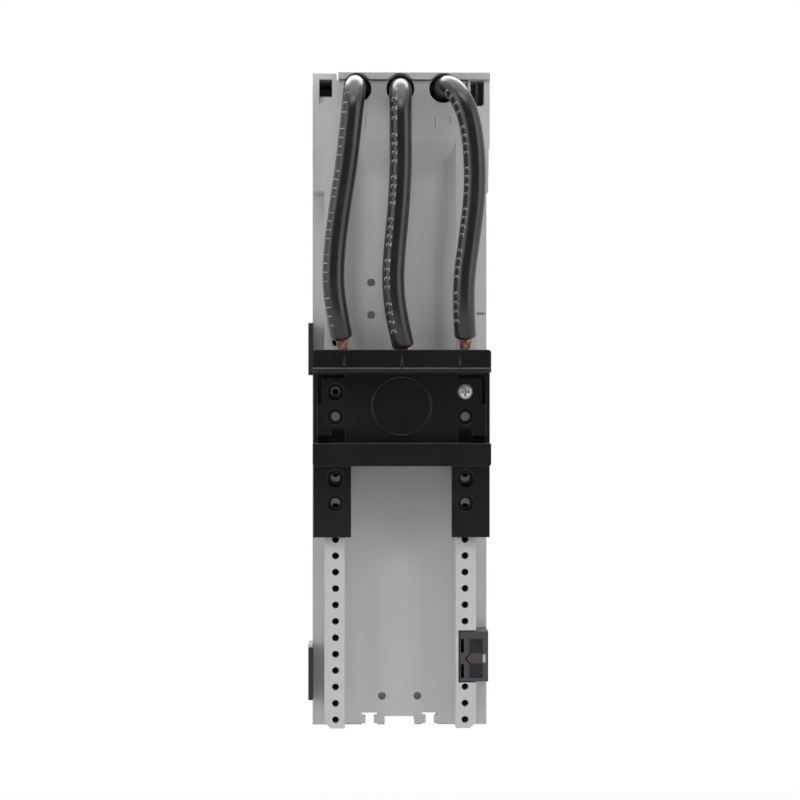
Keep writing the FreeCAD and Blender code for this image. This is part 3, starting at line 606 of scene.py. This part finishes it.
def coilMesh(name, node, look, axis):
    low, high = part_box(node)
    middle = (low + high) / 2
    first, second = [index for index in range(3) if index != axis]
    radius = (high[first] - low[first] - look["wire"]) / 2
    length = high[axis] - low[axis] - look["wire"]
    count = int(look["turns"] * turnSteps) + 1
    curve = bpy.data.curves.new(name, "CURVE")
    curve.dimensions = "3D"
    curve.bevel_depth = look["wire"] / 2
    curve.bevel_resolution = wireSides
    curve.use_fill_caps = True
    spline = curve.splines.new("POLY")
    spline.points.add(count - 1)
    for index, spot in enumerate(spline.points):
        turn = 2 * math.pi * index / turnSteps
        place = middle.copy()
        place[first] += radius * math.cos(turn)
        place[second] += radius * math.sin(turn)
        place[axis] = low[axis] + look["wire"] / 2 + length * index / (count - 1)
        spot.co = (*place, 1.0)
    return meshFromCurve(name, curve)


def makeSpring(node, axis, fixedEnd):
    look = springLooks[node.rstrip("_123")]
    name = node + "_coil"
    piece = addPiece(name, coilMesh(name, node, look, axis), "spring_steel")
    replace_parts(piece, node)
    low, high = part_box(node)
    anchor = (low + high) / 2
    anchor[axis] = (low, high)[fixedEnd][axis]
    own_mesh(piece)


for hookNumber in range(1, 4):
    makeSpring("hook_spring_%d" % hookNumber, 1, 1)
makeSpring("lock_spring", 2, 0)
print("springs wound: 4")


# raised numbers beside the lead outlets
deckNumbers = {"height": 0.0028, "rise": 0.00022, "pitch": 0.0154, "up": 0.0855}


def raisedNumbers():
    whole = bmesh.new()
    for number in range(len(leadRoutes)):
        digit = bmesh.new()
        digit.from_mesh(flatDigit(str(number + 1), deckNumbers["height"]))
        solid = bmesh.ops.extrude_face_region(digit, geom=digit.faces[:])
        risen = [item for item in solid["geom"] if isinstance(item, bmesh.types.BMVert)]
        bmesh.ops.translate(digit, verts=risen, vec=(0.0, 0.0, deckNumbers["rise"]))
        middle = (number - 1) * deckNumbers["pitch"]
        front = outletCentre(number).y
        joinDigit(whole, digit, lambda corner: (middle + corner.x, front - corner.z, deckNumbers["up"] + corner.y))
    bmesh.ops.recalc_face_normals(whole, faces=whole.faces[:])
    addPiece("deck_numbers", finishedMesh("deck_numbers", whole), "housing_grey")


raisedNumbers()
print("numbers raised on the deck:", len(leadRoutes))


# inside of the side latch: floors in its two windows and a pale stop in its slit, measured from its outer top corner
latchInside = {
    "windowOuter": 0.0017, "windowWide": 0.0041, "windowHigh": 0.0042, "windowDown": (0.002375, 0.010075),
    "floorDepth": 0.00185, "floorThick": 0.0010, "dishEdge": 0.0007, "dishFoot": 0.00098, "dishDepth": 0.0003,
    "slitInner": 0.0017, "slitWide": 0.0010, "slitDown": (0.007075, 0.009575),
    "stopDepth": 0.00015, "stopThick": 0.0012, "grip": 0.00004,
}


def ringAt(left, right, y, low, high, inset=0.0):
    return [
        (left + inset, y, low + inset), (right - inset, y, low + inset),
        (right - inset, y, high - inset), (left + inset, y, high - inset),
    ]


def closedStack(whole, rings):
    # side faces from ring to ring, and a cap at both ends
    rings = [[whole.verts.new(corner) for corner in ring] for ring in rings]
    for near, far in zip(rings, rings[1:]):
        for index in range(len(near)):
            after = (index + 1) % len(near)
            whole.faces.new((near[index], near[after], far[after], far[index]))
    whole.faces.new(rings[0])
    whole.faces.new(rings[-1])


def addInLatch(name, whole, finish):
    bmesh.ops.recalc_face_normals(whole, faces=whole.faces[:])
    addPiece(name, finishedMesh(name, whole), finish, "latch")


def latchFloors():
    # pads with a shallow dish in the front face
    corner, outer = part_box("side_latch")
    grip = latchInside["grip"]
    right = outer.x - latchInside["windowOuter"] + grip
    left = right - latchInside["windowWide"] - 2 * grip
    front = corner.y + latchInside["floorDepth"]
    back = front + latchInside["floorThick"]
    steps = (
        (back, 0.0), (front, 0.0), (front, latchInside["dishEdge"]),
        (front + latchInside["dishDepth"], latchInside["dishFoot"]),
    )
    whole = bmesh.new()
    for down in latchInside["windowDown"]:
        high = outer.z - down + grip
        low = outer.z - down - latchInside["windowHigh"] - grip
        closedStack(whole, [ringAt(left, right, y, low, high, inset) for y, inset in steps])
    addInLatch("latch_window_floors", whole, "latch_grey")


def latchStop():
    corner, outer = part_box("side_latch")
    grip = latchInside["grip"]
    left = outer.x - latchInside["slitInner"] - grip
    right = left + latchInside["slitWide"] + 2 * grip
    high, low = (outer.z - down for down in latchInside["slitDown"])
    front = corner.y + latchInside["stopDepth"]
    back = front + latchInside["stopThick"]
    whole = bmesh.new()
    closedStack(whole, [ringAt(left, right, y, low - grip, high + grip) for y in (front, back)])
    addInLatch("latch_slit_stop", whole, "housing_grey")


latchFloors()
latchStop()
print("latch filled: 2 pieces")


# studio: pale floor, white surroundings, soft boxes all round; only mirrored ones show in reflections,
# and one without spread shows nowhere else
studio = {
    "floorDrop": 0.30, "floorSize": 3.0, "floorColour": 0.86, "paper": 0.97, "fill": 0.10, "aim": (0.0, -0.02, 0.0),
    "boxes": {
        "box_right": {"place": (0.76, -0.48, 0.22), "size": (0.50, 0.60), "glow": 3.8, "mirrored": False},
        "box_left": {"place": (-0.76, -0.48, 0.22), "size": (0.50, 0.60), "glow": 3.4, "mirrored": False},
        "shine_right": {"place": (0.74, -0.465, 0.215), "size": (0.48, 0.58), "glow": 1.1, "mirrored": True},
        "shine_left": {"place": (-0.74, -0.465, 0.215), "size": (0.48, 0.58), "glow": 1.1, "mirrored": True},
        "box_front": {"place": (0.02, -1.10, -0.22), "size": (0.80, 0.80), "glow": 0.5, "mirrored": False},
        "box_top": {"place": (0.0, -0.58, 0.62), "size": (0.60, 0.24), "glow": 3.8, "mirrored": True},
        "box_over": {"place": (0.0, -0.18, 0.66), "size": (1.00, 0.30), "glow": 2.1, "mirrored": True},
        "box_back": {"place": (0.0, 0.16, 0.72), "size": (0.90, 0.40), "glow": 2.0, "mirrored": True},
        "box_rear": {"place": (0.20, 0.86, 0.25), "size": (0.70, 0.70), "glow": 2.6, "mirrored": False},
        "shine_back": {
            "place": (0.0, 0.40, 0.56), "size": (0.90, 0.36), "glow": 6.0, "mirrored": True, "spread": False,
        },
    },
    "flag": {"place": (0.02, -0.95, 0.35), "size": (1.5, 1.1), "colour": 0.012},
}


def paperShare(finish):
    # 1 where the camera, a reflection or a clear piece looks at it
    rays = ("Is Camera Ray", "Is Glossy Ray", "Is Transmission Ray")
    seen, mirrored, through = [finish.add("ShaderNodeLightPath", output=ray) for ray in rays]
    return (seen + mirrored + through).clamped()


def flatPlate(name, width, depth):
    mesh = bpy.data.meshes.new(name)
    corners = [(-width / 2, -depth / 2, 0.0), (width / 2, -depth / 2, 0.0)]
    corners += [(width / 2, depth / 2, 0.0), (-width / 2, depth / 2, 0.0)]
    mesh.from_pydata(corners, [], [(0, 1, 2, 3)])
    plate = bpy.data.objects.new(name, mesh)
    bpy.context.scene.collection.objects.link(plate)
    return plate


def makeFloor():
    floor = flatPlate("floor", studio["floorSize"], studio["floorSize"])
    floor.location = (0.0, 0.0, cadLow.z - studio["floorDrop"])
    material = bpy.data.materials.new("floor_paper")
    material.use_nodes = True
    finish = Finish(material.node_tree)
    finish.tree.nodes.clear()
    matte = finish.add("ShaderNodeBsdfDiffuse", inputs={"Color": grey(studio["floorColour"])})
    glow = finish.add("ShaderNodeEmission", inputs={"Color": grey(1.0), "Strength": 1.0})
    share = paperShare(finish) * studio["paper"]
    mixed = finish.add("ShaderNodeMixShader", inputs={0: share, 1: matte, 2: glow})
    finish.add("ShaderNodeOutputMaterial", inputs={"Surface": mixed})
    floor.data.materials.append(material)


def makeWorld():
    world = bpy.data.worlds.new("studio")
    world.use_nodes = True
    bpy.context.scene.world = world
    finish = Finish(world.node_tree)
    backdrop = world.node_tree.nodes["Background"]
    backdrop.inputs["Color"].default_value = grey(1.0)
    share = paperShare(finish)
    finish.feed(backdrop.inputs["Strength"], studio["fill"] + share * (1.0 - studio["fill"]))


def aimAt(item, target):
    item.rotation_mode = "QUATERNION"
    item.rotation_quaternion = (Vector(target) - item.location).to_track_quat("-Z", "Y")


def makeBox(name, look):
    light = bpy.data.lights.new(name, "AREA")
    light.shape = "RECTANGLE"
    light.size, light.size_y = look["size"]
    light.energy = look["glow"] * math.pi * light.size * light.size_y
    box = bpy.data.objects.new(name, light)
    bpy.context.scene.collection.objects.link(box)
    box.location = look["place"]
    box.visible_glossy = look["mirrored"]
    box.visible_diffuse = look.get("spread", True)
    aimAt(box, studio["aim"])


def makeFlag():
    # dark card behind the camera, which only reflections see
    look = studio["flag"]
    card = flatPlate("flag", *look["size"])
    card.location = look["place"]
    card.rotation_euler = (math.radians(90.0), 0.0, 0.0)
    card.visible_camera = False
    card.visible_diffuse = False
    card.visible_shadow = False
    card.visible_transmission = False
    material = bpy.data.materials.new("flag_card")
    material.use_nodes = True
    surface = material.node_tree.nodes["Principled BSDF"]
    surface.inputs["Base Color"].default_value = grey(look["colour"])
    surface.inputs["Specular IOR Level"].default_value = 0.0
    card.data.materials.append(material)


# camera: f is the focal length in pixels of the 800 px frame
shot = {
    "f": 2132.0, "frame": 800.0, "sensor": 36.0, "distance": 0.650, "side": -0.0125, "up": 0.0,
    "target": (-0.0001, -0.026, 0.0001), "nearest": 0.01,
}


def makeCamera():
    data = bpy.data.cameras.new("camera")
    data.sensor_width = shot["sensor"]
    data.lens = shot["f"] / shot["frame"] * shot["sensor"]
    data.clip_start = shot["nearest"]
    camera = bpy.data.objects.new("camera", data)
    bpy.context.scene.collection.objects.link(camera)
    camera.location = (shot["side"], leadSizes["deckFront"] - shot["distance"], shot["up"])
    aimAt(camera, shot["target"])
    bpy.context.scene.camera = camera


makeFloor()
makeWorld()
for boxName, boxLook in studio["boxes"].items():
    makeBox(boxName, boxLook)
makeFlag()
makeCamera()
bpy.context.scene.view_settings.view_transform = "Standard"
print("studio lit")
